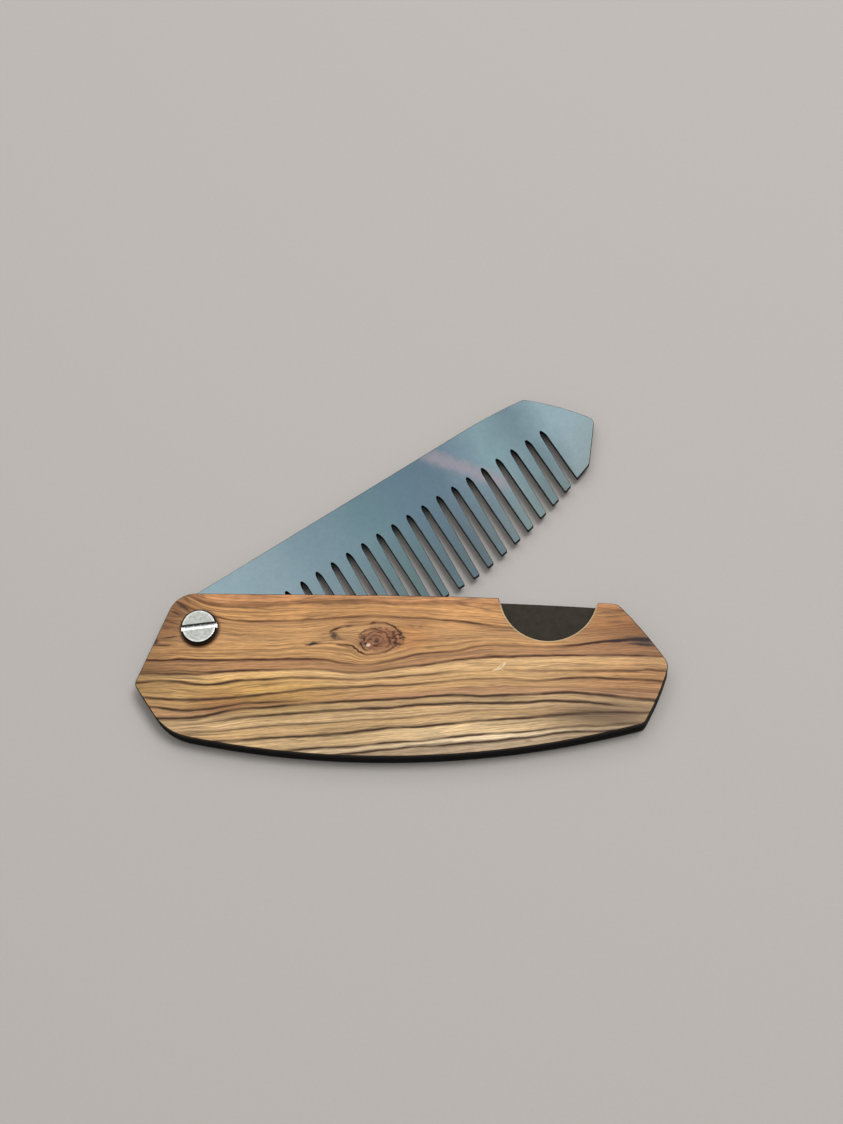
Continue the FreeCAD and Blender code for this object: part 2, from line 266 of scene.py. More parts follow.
# Smudges and short streaks: x mm, y mm, half length mm, half width mm, turn in degrees, darkness.
STREAKS = (
    (29.8, -1.3, 1.5, 0.9, -48, 0.85), (30.5, -1.9, 2.2, 0.5, -8, 0.5), (25.2, -3.25, 2.1, 0.5, 12, 1.0),
    (22.0, -3.9, 2.6, 0.25, 3, 0.35), (39.2, -2.4, 0.8, 0.7, 0, 0.55), (44.3, -0.7, 0.9, 0.6, -50, 0.85),
    (44.9, -1.4, 0.8, 0.4, -20, 0.7), (43.1, -2.6, 0.8, 0.45, 30, 0.75), (36.3, -1.6, 0.5, 0.9, 10, 0.45),
    (42.8, -1.0, 0.9, 0.4, 60, 0.6), (35.9, -3.1, 0.4, 1.1, 14, 0.6), (46.6, 1.0, 1.0, 0.3, -30, 0.3),
    (48.7, 1.1, 0.5, 0.3, 20, 0.35),
    (-9.6, -3.1, 0.9, 1.0, 20, 0.85), (-8.0, -4.0, 2.6, 0.4, 0, 0.75), (-6.4, -2.1, 2.2, 0.3, 9, 0.8),
    (-4.0, 5.0, 2.2, 0.42, -31, 0.85), (-5.6, 3.7, 1.7, 0.45, -22, 0.75), (-7.0, 1.6, 2.0, 0.3, -8, 0.5),
    (-7.4, 0.0, 1.8, 0.25, 4, 0.4), (-3.5, 7.0, 1.6, 0.5, -42, 0.5),
    (86.5, -2.3, 5.0, 0.3, 7, 0.75), (91.5, -1.7, 4.5, 0.5, 3, 0.95), (96.8, -1.4, 5.2, 0.95, -3, 1.0),
    (97.0, -2.5, 4.2, 0.5, -4, 1.0), (91.0, 2.6, 2.6, 0.35, 6, 0.35), (89.0, 5.0, 2.2, 0.3, 0, 0.3),
)
SMUDGE_COLOUR = "26120F"
# Streaks along the grain: length mm, breadth mm, and the least and most they shade the wood.
# The third are single fibres, three times as coarse as real pores, which are too fine to show.
FIBRES = (
    (24.0, 0.8, 0.85, 1.12), (9.0, 0.34, 0.84, 1.14), (2.2, 0.26, 0.86, 1.12),
    (17.0, 6.0, 0.92, 1.08),
)
# Hair-thin minor lines: length mm, breadth mm between them, and how far off the noise's middle
# value they fade out.
MINOR_LINES = ((60.0, 1.6, 0.02), (34.0, 0.9, 0.026))
MINOR_LINE_SHADE = 0.6
PORE_DEPTH_MM = 0.03
LINE_BREAK_MM = (7.0, 1.2)  # the length and breadth of a line's darker and lighter stretches
UPPER_LINE_AND_SHADE_COLOUR = "471F06"
LINE_COLOUR_LOWER = "3A2108"
LINE_HUE_MM = (-16.0, -6.0)  # the heights between which the lower colour gives way to the upper
SCORCH_COLOUR = "120C09"
SCORCH_MM = (0.02, 0.1)  # the depths under the face between which the scorching sets in
SCREW_SHADE_MM = (4.15, 4.8)  # the radii between which the painted shade round the screw's head fades
# The notch in the handle's upper edge, and how far in from its rim a pale strip is painted as a highlight
# where the cut edge catches the light.
NOTCH = {"place": (76.4, 8.7), "radius_mm": 10.6, "highlight_mm": 0.34}
# The pale colour of the scratches, and of the painted highlight along the notch's rim.
PALE_SCRATCH_AND_HIGHLIGHT = "F0D9AE"
# Short pale scratches on the front, listed like the streaks.
SCRATCHES = (
    (65.4, -8.7, 1.2, 0.17, 14, 0.85), (65.9, -8.0, 1.0, 0.15, 55, 0.85),
    (66.8, -7.7, 1.1, 0.16, 62, 0.85), (66.4, -8.5, 0.7, 0.14, -20, 0.85),
)


def curve_along(tree, share, points, x_span, y_span):
    """Two smooth curves over x, through a line's points: its y and its darkness."""
    curve = tree.nodes.new("ShaderNodeVectorCurve")
    tree.links.new(share, curve.inputs["Vector"])
    for axis, low, high in ((0, *y_span), (1, 0.0, 1.0)):
        line = curve.mapping.curves[axis]
        spots = [((p[0] - x_span[0]) / (x_span[1] - x_span[0]), (p[1 + axis] - low) / (high - low))
                 for p in points]
        line.points[0].location = spots[0]
        line.points[1].location = spots[-1]
        for spot in spots[1:-1]:
            line.points.new(*spot)
    curve.mapping.update()
    read = add(tree, "ShaderNodeSeparateXYZ", {0: curve.outputs[0]}).node.outputs
    level = add(
        tree, "ShaderNodeMapRange",
        {"Value": read["X"], "To Min": y_span[0], "To Max": y_span[1]}, clamp=False,
    )
    return level, read["Y"]


def gather(tree, operation, values):
    """Joins values one after another with the same operation, such as ADD or MAXIMUM."""
    total = values[0]
    for value in values[1:]:
        total = add(tree, "ShaderNodeMath", {0: total, 1: value}, operation=operation)
    return total


def share_of_span(tree, along, span):
    """How far along a span of x a point lies, from 0 to 1, as the curves above read it."""
    share = add(
        tree, "ShaderNodeMapRange", {"Value": along, "From Min": span[0], "From Max": span[1]}
    )
    return add(tree, "ShaderNodeCombineXYZ", {"X": share, "Y": share})


def line_mark(tree, above, half_width, darkness):
    """A soft line where above is 0, darkest in its middle and gone half_width away."""
    distance = add(tree, "ShaderNodeMath", {0: above}, operation="ABSOLUTE")
    return add(
        tree, "ShaderNodeMapRange",
        {"Value": distance, "From Max": half_width, "To Min": darkness, "To Max": 0.0},
        interpolation_type="SMOOTHSTEP",
    )


def drawn_noise(tree, vector, length, breadth, start=(0.0, 0.0), detail=2.0):
    """Noise drawn out along the grain, in blotches of about length by breadth mm."""
    drawn = add(
        tree, "ShaderNodeMapping",
        {"Vector": vector, "Location": (*start, 0.0), "Scale": (1 / length, 1 / breadth, 1.0)},
    )
    return add(tree, "ShaderNodeTexNoise", {"Vector": drawn, "Scale": 1.0, "Detail": detail})


def from_middle(tree, vector, middle, half, turn=0.0):
    """How far a point is from the middle of an ellipse, where 1 is its rim."""
    there = add(
        tree, "ShaderNodeMapping",
        {"Vector": vector, "Location": (*middle, 0.0),
         "Rotation": (0.0, 0.0, math.radians(turn)), "Scale": (*half, 1.0)},
        vector_type="TEXTURE",
    )
    return add(tree, "ShaderNodeVectorMath", {0: there}, out="Value", operation="LENGTH")


def growth_lines(tree, flat):
    """The growth lines as curves y(x): where the grain runs, which band it is, and how dark.

    Over each line a ramp goes from 0 to 1. Wide ramps add up to a ring number, which the finer
    streaks follow, so they run with the lines. Narrow ramps add up to the band's number.
    """
    # The lines waver: slow noise moves them a few tenths of a millimetre, quick noise much less.
    swings = []
    for length, breadth, sway in WAVERING_MM:
        noise = drawn_noise(tree, flat, length, breadth, detail=1.0)
        swings.append(add(
            tree, "ShaderNodeMapRange", {"Value": noise, "To Min": -sway / 2, "To Max": sway / 2}
        ))
    apart = add(tree, "ShaderNodeSeparateXYZ", {0: flat}).node.outputs
    height = add(
        tree, "ShaderNodeMath", {0: apart["Y"], 1: gather(tree, "ADD", swings)}, operation="ADD"
    )
    share = share_of_span(tree, apart["X"], WOOD_X)
    rings, bands, marks = [], [], []
    for half_width, points in GROWTH_LINES:
        level, darkness = curve_along(tree, share, points, WOOD_X, WOOD_Y)
        above = add(tree, "ShaderNodeMath", {0: height, 1: level}, operation="SUBTRACT")
        for ramps, reach in ((rings, LINE_REACH_MM), (bands, BAND_EDGE_MM)):
            ramps.append(add(
                tree, "ShaderNodeMapRange", {"Value": above, "From Min": -reach, "From Max": reach}
            ))
        marks.append(line_mark(tree, above, half_width, darkness))
    ring_mm = add(
        tree, "ShaderNodeMath", {0: gather(tree, "ADD", rings), 1: LINE_REACH_MM},
        operation="MULTIPLY",
    )
    with_grain = add(tree, "ShaderNodeCombineXYZ", {"X": apart["X"], "Y": ring_mm})
    return with_grain, gather(tree, "ADD", bands), gather(tree, "MAXIMUM", marks)


def banded(tree, band):
    """The tone of each band between two growth lines."""
    band_place = add(
        tree, "ShaderNodeMath", {0: band, 1: float(len(GROWTH_LINES))}, operation="DIVIDE"
    )
    bands = add(tree, "ShaderNodeValToRGB", {0: band_place})
    ramp = bands.node.color_ramp
    ramp.elements[0].color = linear(BAND_TONES[0])
    ramp.elements[1].color = linear(BAND_TONES[-1])
    for number, tone in enumerate(BAND_TONES[1:-1], 1):
        ramp.elements.new(number / (len(BAND_TONES) - 1)).color = linear(tone)
    return bands


def fine_streaks(tree, with_grain):
    """Faint rings between the lines, single fibres, and hair-thin minor lines, as one shade."""
    shades = []
    for length, breadth, least, most in FIBRES:
        noise = drawn_noise(tree, with_grain, length, breadth, start=(length, 7.0))
        shades.append(add(
            tree, "ShaderNodeMapRange",
            {"Value": noise, "From Min": 0.36, "From Max": 0.64, "To Min": least, "To Max": most},
        ))
    # A minor line lies where noise drawn out along the grain crosses its middle value.
    for length, breadth, thin in MINOR_LINES:
        noise = drawn_noise(tree, with_grain, length, breadth, start=(5.0, length), detail=1.0)
        off_middle = add(tree, "ShaderNodeMath", {0: noise, 1: 0.5}, operation="SUBTRACT")
        off_middle = add(tree, "ShaderNodeMath", {0: off_middle}, operation="ABSOLUTE")
        shades.append(add(
            tree, "ShaderNodeMapRange",
            {"Value": off_middle, "From Max": thin, "To Min": MINOR_LINE_SHADE, "To Max": 1.0},
            interpolation_type="SMOOTHSTEP",
        ))
    return gather(tree, "MULTIPLY", shades)


def stained_and_sheened(tree, flat, colour):
    """The wood's colour with its broad soft stains, and a pale patch of painted sheen."""
    for x, y, half_length, half_height, factors in STAINS_AND_SHEEN:
        away = from_middle(tree, flat, (x, y), (half_length, half_height))
        soft_patch = add(
            tree, "ShaderNodeMapRange", {"Value": away, "From Min": 1.0, "From Max": 0.1},
            interpolation_type="SMOOTHSTEP",
        )
        colour = add(
            tree, "ShaderNodeMix", {0: soft_patch, 6: colour, 7: (*factors, 1.0)},
            out=2, data_type="RGBA", blend_type="MULTIPLY",
        )
    return colour


def jittered(tree, flat):
    """The place on the face, moved about a little: once roughly, for the knot, and once finely."""
    jitter = add(
        tree, "ShaderNodeTexNoise", {"Vector": flat, "Scale": JITTER_PER_MM, "Detail": 3.0},
        out="Color",
    )
    jitter = add(tree, "ShaderNodeVectorMath", {0: jitter, 1: (0.5, 0.5, 0.5)}, operation="SUBTRACT")
    moved = []
    for sway in (RAGGED_MM, DRIFT_MM):
        shift = add(tree, "ShaderNodeVectorMath", {0: jitter, 1: (*sway, 0.0)}, operation="MULTIPLY")
        moved.append(add(tree, "ShaderNodeVectorMath", {0: flat, 1: shift}, operation="ADD"))
    return moved


def knotted(tree, flat, ragged, drifting, colour):
    """The knot: reddish wood with uneven rings round an off-centre heart, and a pale resin fleck."""
    knot = add(
        tree, "ShaderNodeMapRange",
        {"Value": from_middle(tree, ragged, KNOT["place"], KNOT["half"]),
         "From Min": 1.1, "From Max": 0.6},
        interpolation_type="SMOOTHSTEP",
    )
    heart_mm = from_middle(tree, ragged, KNOT["heart"], KNOT["heart_shape"])
    turns = add(
        tree, "ShaderNodeMath", {0: heart_mm, 1: 2 * math.pi / KNOT["rings_mm"]}, operation="MULTIPLY"
    )
    wave = add(tree, "ShaderNodeMath", {0: turns}, operation="SINE")
    patchy = add(
        tree, "ShaderNodeTexNoise", {"Vector": flat, "Scale": RING_PATCHES_PER_MM, "Detail": 2.0}
    )
    patchy = add(
        tree, "ShaderNodeMapRange", {"Value": patchy, "From Min": 0.36, "From Max": 0.56}
    )
    rings = add(tree, "ShaderNodeMapRange", {"Value": wave, "From Min": 0.1})
    rings = gather(tree, "MULTIPLY", [rings, patchy, knot])
    fill = add(tree, "ShaderNodeMath", {0: knot, 1: KNOT["fill"]}, operation="MULTIPLY")
    fleck = add(
        tree, "ShaderNodeMapRange",
        {"Value": from_middle(tree, drifting, KNOT["fleck_place"], KNOT["fleck_half"]),
         "From Min": 1.2, "From Max": 0.6},
    )
    for amount, tone in ((fill, KNOT["tone"]), (rings, KNOT["ring"]), (fleck, KNOT["fleck"])):
        colour = add(
            tree, "ShaderNodeMix", {0: amount, 6: colour, 7: linear(tone)}, out=2, data_type="RGBA"
        )
    return colour


def knot_marks(tree, flat, drifting):
    """The knot's own lines, and the dark broken networks at its sides."""
    apart = add(tree, "ShaderNodeSeparateXYZ", {0: drifting}).node.outputs
    share = share_of_span(tree, apart["X"], KNOT_X)
    marks = []
    for half_width, points in KNOT_LINES:
        level, darkness = curve_along(tree, share, points, KNOT_X, KNOT_Y)
        above = add(tree, "ShaderNodeMath", {0: apart["Y"], 1: level}, operation="SUBTRACT")
        marks.append(line_mark(tree, above, half_width, darkness))
    cracks = add(
        tree, "ShaderNodeTexNoise", {"Vector": flat, "Scale": CRACKS_PER_MM, "Detail": 2.0}
    )
    cracks = add(tree, "ShaderNodeMapRange", {"Value": cracks, "From Min": 0.48, "From Max": 0.58})
    for x, y, half_length, half_height, most in KNOT_NETS:
        net = add(
            tree, "ShaderNodeMapRange",
            {"Value": from_middle(tree, flat, (x, y), (half_length, half_height)),
             "From Min": 1.05, "From Max": 0.5, "To Max": most},
        )
        marks.append(add(tree, "ShaderNodeMath", {0: net, 1: cracks}, operation="MULTIPLY"))
    return marks


def patches(tree, drifting, spots, solid, gone, fade="SMOOTHSTEP"):
    """Elliptical patches, full inside the share solid of their size and faded out at gone."""
    found = []
    for x, y, half_length, half_width, turn, most in spots:
        away = from_middle(tree, drifting, (x, y), (half_length, half_width), turn)
        found.append(add(
            tree, "ShaderNodeMapRange",
            {"Value": away, "From Min": solid, "From Max": gone, "To Min": most, "To Max": 0.0},
            interpolation_type=fade,
        ))
    return found


def notch_rim_highlight(tree, flat):
    """A painted highlight: a narrow pale strip along the notch's rim, where its cut edge catches the
    light.
    """
    from_notch = add(
        tree, "ShaderNodeVectorMath", {0: flat, 1: (*NOTCH["place"], 0.0)}, operation="SUBTRACT"
    )
    notch_mm = add(tree, "ShaderNodeVectorMath", {0: from_notch}, out="Value", operation="LENGTH")
    return add(
        tree, "ShaderNodeMapRange",
        {"Value": notch_mm, "From Min": NOTCH["radius_mm"],
         "From Max": NOTCH["radius_mm"] + NOTCH["highlight_mm"], "To Min": 0.8, "To Max": 0.0},
    )


def oiled_wood(name, flip, shift, face_level, depth_way, front=False):
    """Oiled tan wood: soft satin sheen, warm bands between dark growth lines, and a scorched rim.

    flip and shift place the pattern, and the rim is what lies deeper than the face by depth_way.
    Only the front has pale scratches and a painted highlight along the notch's rim.
    """
    material, tree, shader = new_material(name, Specular_IOR_Level=0.25)
    place = add(tree, "ShaderNodeTexCoord", out="Object")
    flat = add(
        tree, "ShaderNodeMapping",
        {"Vector": place, "Location": (*shift, 0.0), "Scale": (flip / MM, 1 / MM, 0.0)},
    )
    ragged, drifting = jittered(tree, flat)
    with_grain, band, dark = growth_lines(tree, flat)
    streaky = fine_streaks(tree, with_grain)
    colour = add(
        tree, "ShaderNodeMix", {0: 1.0, 6: banded(tree, band), 7: streaky},
        out=2, data_type="RGBA", blend_type="MULTIPLY",
    )
    colour = stained_and_sheened(tree, flat, colour)
    colour = knotted(tree, flat, ragged, drifting, colour)

    # Growth lines are lighter and darker along their length, and redder toward the upper edge.
    dark = gather(tree, "MAXIMUM", [dark, *knot_marks(tree, flat, drifting)])
    broken = add(
        tree, "ShaderNodeMapRange",
        {"Value": drawn_noise(tree, with_grain, *LINE_BREAK_MM, detail=3.0),
         "From Min": 0.36, "From Max": 0.58, "To Min": 0.9, "To Max": 1.35},
    )
    lines = add(tree, "ShaderNodeMath", {0: dark, 1: broken}, operation="MULTIPLY")
    across = add(tree, "ShaderNodeSeparateXYZ", {0: flat}).node.outputs["Y"]
    hue = add(
        tree, "ShaderNodeMapRange",
        {"Value": across, "From Min": LINE_HUE_MM[0], "From Max": LINE_HUE_MM[1]},
    )
    line_colour = add(
        tree, "ShaderNodeMix",
        {0: hue, 6: linear(LINE_COLOUR_LOWER), 7: linear(UPPER_LINE_AND_SHADE_COLOUR)}, out=2, data_type="RGBA",
    )
    smudges = gather(tree, "MAXIMUM", patches(tree, drifting, STREAKS, solid=0.2, gone=1.2))

    # Round the pivot a dark ring is painted on the wood: painted shade round the screw's head.
    pivot_way = add(
        tree, "ShaderNodeVectorMath", {0: place, 1: (1 / MM, 1 / MM, 0.0)}, operation="MULTIPLY"
    )
    pivot_mm = add(tree, "ShaderNodeVectorMath", {0: pivot_way}, out="Value", operation="LENGTH")
    painted_shade_mask = add(
        tree, "ShaderNodeMapRange",
        {"Value": pivot_mm, "From Min": SCREW_SHADE_MM[1], "From Max": SCREW_SHADE_MM[0], "To Max": 0.85},
    )
    depth = add(tree, "ShaderNodeSeparateXYZ", {0: place}).node.outputs["Z"]
    scorched = add(
        tree, "ShaderNodeMapRange",
        {"Value": depth, "From Min": face_level + depth_way * SCORCH_MM[0] * MM,
         "From Max": face_level + depth_way * SCORCH_MM[1] * MM},
    )
    layers = [
        (lines, line_colour), (smudges, linear(SMUDGE_COLOUR)), (painted_shade_mask, linear(UPPER_LINE_AND_SHADE_COLOUR)),
        (scorched, linear(SCORCH_COLOUR)),
    ]
    if front:
        # The scratches are pale wear; the strip along the notch's rim is a painted highlight.
        scratches = patches(tree, drifting, SCRATCHES, solid=0.4, gone=1.2, fade="LINEAR")
        worn = gather(tree, "MAXIMUM", [*scratches, notch_rim_highlight(tree, flat)])
        layers.append((worn, linear(PALE_SCRATCH_AND_HIGHLIGHT)))
    for amount, tone in layers:
        colour = add(
            tree, "ShaderNodeMix", {0: amount, 6: colour, 7: tone}, out=2, data_type="RGBA"
        )

    relief = add(tree, "ShaderNodeMath", {0: streaky, 1: lines}, operation="SUBTRACT")
    bump = add(
        tree, "ShaderNodeBump", {"Height": relief, "Strength": 0.35, "Distance": PORE_DEPTH_MM * MM},
    )
    gloss = add(tree, "ShaderNodeMapRange", {"Value": lines, "To Min": 0.44, "To Max": 0.56})
    connect(tree, shader, Base_Color=colour, Roughness=gloss, Normal=bump)
    return material


def finish_node(name, *materials):
    """Gives a CAD node its materials in place of the plain ones it was packed with."""
    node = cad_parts[name]
    node.data.materials.clear()
    for material in materials:
        node.data.materials.append(material)
    return node


back_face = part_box("back_veneer")[0].z
front_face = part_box("front_veneer")[1].z
back_wood = oiled_wood("oiled_wood_back", -1.0, (88.0, 1.5), back_face, 1.0)
front_wood = oiled_wood("oiled_wood_front", 1.0, (0.0, 0.0), front_face, -1.0, front=True)
finish_node("back_veneer", back_wood)
finish_node("front_veneer", front_wood)

# ---------------------------------------------------------------------------------------------
# Black cores and spacer. The cores are 1.2 mm sheets of dark fibreboard, and the spacer is a
# 1.5 mm strip of the same. The laser that cut them left their edges black and finely ribbed.
CORE_FACE = "36312A"
CORE_EDGE = "050505"
MOTTLE_MM = 1.6
CORE_RELIEF_MM = 0.04
LASER_RIB_MM = 0.22


def laser_ribs(tree, place):
    """Fine noise that is the same at every height, like the upright ribs a laser cut leaves."""
    across = 1 / (LASER_RIB_MM * MM)
    upright = add(tree, "ShaderNodeMapping", {"Vector": place, "Scale": (across, across, 0.0)})
    return add(tree, "ShaderNodeTexNoise", {"Vector": upright, "Scale": 1.0, "Detail": 2.0})


def dark_fibreboard():
    """Dark fibreboard: a dull, faintly mottled face, and a sooty edge with upright laser ribs."""
    material, tree, shader = new_material("dark_fibreboard", Roughness=0.75, Specular_IOR_Level=0.15)
    place = add(tree, "ShaderNodeTexCoord", out="Object")
    normal = add(tree, "ShaderNodeNewGeometry", out="Normal")
    rise = add(tree, "ShaderNodeSeparateXYZ", {0: normal}, out="Z")
    flatness = add(tree, "ShaderNodeMath", {0: rise}, operation="ABSOLUTE")
    on_face = add(
        tree, "ShaderNodeMapRange", {"Value": flatness, "From Min": 0.7, "From Max": 0.95}
    )
    mottle = add(
        tree, "ShaderNodeTexNoise",
        {"Vector": place, "Scale": 1 / (MOTTLE_MM * MM), "Detail": 4.0, "Roughness": 0.65},
    )
    shade = add(
        tree, "ShaderNodeMapRange",
        {"Value": mottle, "From Min": 0.3, "From Max": 0.7, "To Min": 0.77, "To Max": 1.23},
    )
    face = add(
        tree, "ShaderNodeMix", {0: 1.0, 6: linear(CORE_FACE), 7: shade},
        out=2, data_type="RGBA", blend_type="MULTIPLY",
    )
    ribs = laser_ribs(tree, place)
    sooty = add(
        tree, "ShaderNodeMapRange",
        {"Value": ribs, "From Min": 0.3, "From Max": 0.7, "To Min": 0.5, "To Max": 1.9},
    )
    edge = add(
        tree, "ShaderNodeMix", {0: 1.0, 6: linear(CORE_EDGE), 7: sooty},
        out=2, data_type="RGBA", blend_type="MULTIPLY",
    )
    colour = add(tree, "ShaderNodeMix", {0: on_face, 6: edge, 7: face}, out=2, data_type="RGBA")
    relief = add(
        tree, "ShaderNodeMix", {0: on_face, 2: ribs, 3: mottle}, out=0, data_type="FLOAT"
    )
    bump = add(
        tree, "ShaderNodeBump", {"Height": relief, "Strength": 0.4, "Distance": CORE_RELIEF_MM * MM}
    )
    connect(tree, shader, Base_Color=colour, Normal=bump)
    return material


fibreboard = dark_fibreboard()
for core_name in ("back_core", "spacer", "front_core"):
    finish_node(core_name, fibreboard)

# ---------------------------------------------------------------------------------------------
# Comb blade. One 1.2 mm sheet of steel, satin-finished and tinted blue-grey by heat, with a
# lilac streak where it ran hottest. It was laser cut, so its tooth walls are black.
BLADE_TURN = math.radians(34.8)
BLADE_EASE_MM = 0.1
BLADE_X = (-10.0, 102.0)
# The blade's heat tint and a painted reflection along its length, from the pivot to the tip: x mm and
# colour. The painted reflection makes it lighter toward both ends and darker in the middle.
TINTS_AND_REFLECTION = (
    (-10, "798C94"), (10, "76888F"), (20, "6E7F86"), (32, "60727A"), (44, "52676D"),
    (56, "4C5E69"), (62, "4C5C66"), (70, "596A73"), (77, "62767B"), (85, "56676E"),
    (92, "6D7E85"), (102, "6D7B7F"),
)
HEAT_CLOUD_MM = 9.0
HEAT_CLOUD_SWAY_MM = 5.0  # how far the clouds push the tints along the blade
HEAT_STREAK = {"from": (63.4, 9.5), "to": (76.0, -9.0), "half_mm": 2.0, "colour": "787178",
               "overrun": 1.15, "wisp_mm": 1.6, "wisp_sway_mm": 2.8}
TIP_TINT = (0.82, 0.75, 0.68, 1.0)  # multiplies the teeth's tone toward their tips
TIP_TINT_MM = (-2.0, -17.0)  # from the teeth's roots to their tips
BLADE_EDGE = "070708"
SATIN_MM = (3.0, 0.12)
SATIN_DEPTH_MM = 0.01
SPECKLE_MM = 0.7
EDGE_RIB_DEPTH_MM = 0.02


def eased_copy(name, ease_mm):
    """A merged copy of a CAD node, its flat faces whole again, with each sharp edge rounded off."""
    shape = bmesh.new()
    shape.from_mesh(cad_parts[name].data)
    bmesh.ops.remove_doubles(shape, verts=shape.verts, dist=0.001 * MM)
    bmesh.ops.dissolve_limit(
        shape, angle_limit=math.radians(0.5), verts=shape.verts, edges=shape.edges
    )
    mesh = bpy.data.meshes.new(name + "_eased")
    shape.to_mesh(mesh)
    shape.free()
    mesh.materials.clear()
    piece = bpy.data.objects.new(name + "_eased", mesh)
    bpy.context.scene.collection.objects.link(piece)
    rounding = piece.modifiers.new("eased_edges", "BEVEL")
    rounding.width = ease_mm * MM
    rounding.segments = 2
    rounding.limit_method = "ANGLE"
    rounding.angle_limit = math.radians(35)
    rounding.use_clamp_overlap = False
    mesh.shade_smooth()
    steady = piece.modifiers.new("flat_faces", "WEIGHTED_NORMAL")
    steady.weight = 100
    return piece


def split_by_side(piece, *materials):
    """Puts the first material on the flat faces, the second on upright ones and eased edges."""
    mesh = piece.data
    for material in materials:
        mesh.materials.append(material)
    normals = np.zeros(len(mesh.polygons) * 3, np.float32)
    mesh.polygons.foreach_get("normal", normals)
    upright = np.abs(normals.reshape(-1, 3)[:, 2]) < 0.7
    mesh.polygons.foreach_set("material_index", upright.astype(np.int32))
    piece.modifiers["eased_edges"].material = 1


def heat_tinted_steel():
    """Satin steel with a heat tint: soft blurred reflections, blue-grey, lilac where it ran hottest, and
    a painted reflection that lightens both ends.
    """
    material, tree, shader = new_material("heat_tinted_steel", Metallic=1.0)
    place = add(tree, "ShaderNodeTexCoord", out="Object")
    turned_place = add(
        tree, "ShaderNodeMapping",
        {"Vector": place, "Rotation": (0.0, 0.0, BLADE_TURN), "Scale": (MM, MM, MM)},
        vector_type="TEXTURE",
    )
    apart = add(tree, "ShaderNodeSeparateXYZ", {0: turned_place}).node.outputs
    cloud = add(
        tree, "ShaderNodeTexNoise",
        {"Vector": turned_place, "Scale": 1 / HEAT_CLOUD_MM, "Detail": 3.0},
    )
    cloudy = add(
        tree, "ShaderNodeMapRange",
        {"Value": cloud, "To Min": -HEAT_CLOUD_SWAY_MM, "To Max": HEAT_CLOUD_SWAY_MM},
    )
    along = add(tree, "ShaderNodeMath", {0: apart["X"], 1: cloudy}, operation="ADD")
    share = add(
        tree, "ShaderNodeMapRange",
        {"Value": along, "From Min": BLADE_X[0], "From Max": BLADE_X[1]},
    )
    tint_and_reflection = add(tree, "ShaderNodeValToRGB", {0: share})
    ramp = tint_and_reflection.node.color_ramp
    ramp.elements[0].color = linear(TINTS_AND_REFLECTION[0][1])
    ramp.elements[1].color = linear(TINTS_AND_REFLECTION[-1][1])
    for x, tone in TINTS_AND_REFLECTION[1:-1]:
        ramp.elements.new((x - BLADE_X[0]) / (BLADE_X[1] - BLADE_X[0])).color = linear(tone)

    # The streak runs along a slanted line. In its own turned frame X goes along it, from -1 to 1
    # and a little past its ends, and Y goes across it. Noise frays it into wisps.
    start, end = Vector(HEAT_STREAK["from"]), Vector(HEAT_STREAK["to"])
    run = end - start
    wisps = add(
        tree, "ShaderNodeTexNoise",
        {"Vector": turned_place, "Scale": 1 / HEAT_STREAK["wisp_mm"], "Detail": 4.0}, out="Color",
    )
    wisps = add(tree, "ShaderNodeVectorMath", {0: wisps, 1: (0.5, 0.5, 0.5)}, operation="SUBTRACT")
    sway = HEAT_STREAK["wisp_sway_mm"]
    wisps = add(tree, "ShaderNodeVectorMath", {0: wisps, 1: (sway, sway, 0.0)}, operation="MULTIPLY")
    wispy = add(tree, "ShaderNodeVectorMath", {0: turned_place, 1: wisps}, operation="ADD")
    streak_place = add(
        tree, "ShaderNodeMapping",
        {"Vector": wispy, "Location": (*(start + end) / 2, 0.0),
         "Rotation": (0.0, 0.0, math.atan2(run.y, run.x)),
         "Scale": (run.length / 2 * HEAT_STREAK["overrun"], HEAT_STREAK["half_mm"], 1.0)},
        vector_type="TEXTURE",
    )
    in_streak = add(tree, "ShaderNodeSeparateXYZ", {0: streak_place}).node.outputs
    sideways = add(tree, "ShaderNodeMath", {0: in_streak["Y"]}, operation="ABSOLUTE")
    lengthways = add(tree, "ShaderNodeMath", {0: in_streak["X"]}, operation="ABSOLUTE")
    mark = add(
        tree, "ShaderNodeMapRange",
        {"Value": sideways, "From Min": 1.4, "From Max": 0.1, "To Max": 0.72},
        interpolation_type="SMOOTHSTEP",
    )
    ends = add(
        tree, "ShaderNodeMapRange", {"Value": lengthways, "From Min": 1.1, "From Max": 0.6},
        interpolation_type="SMOOTHSTEP",
    )
    mark = add(tree, "ShaderNodeMath", {0: mark, 1: ends}, operation="MULTIPLY")
    colour = add(
        tree, "ShaderNodeMix", {0: mark, 6: tint_and_reflection, 7: linear(HEAT_STREAK["colour"])},
        out=2, data_type="RGBA",
    )

    # The teeth turn darker and less blue toward their tips, and all of the blade is finely mottled.
    toward_tips = add(
        tree, "ShaderNodeMapRange",
        {"Value": apart["Y"], "From Min": TIP_TINT_MM[0], "From Max": TIP_TINT_MM[1]},
    )
    colour = add(
        tree, "ShaderNodeMix", {0: toward_tips, 6: colour, 7: TIP_TINT},
        out=2, data_type="RGBA", blend_type="MULTIPLY",
    )
    speckle = add(
        tree, "ShaderNodeTexNoise", {"Vector": turned_place, "Scale": 1 / SPECKLE_MM, "Detail": 4.0}
    )
    shade = add(
        tree, "ShaderNodeMapRange",
        {"Value": speckle, "From Min": 0.3, "From Max": 0.7, "To Min": 0.955, "To Max": 1.045},
    )
    colour = add(
        tree, "ShaderNodeMix", {0: 1.0, 6: colour, 7: shade},
        out=2, data_type="RGBA", blend_type="MULTIPLY",
    )

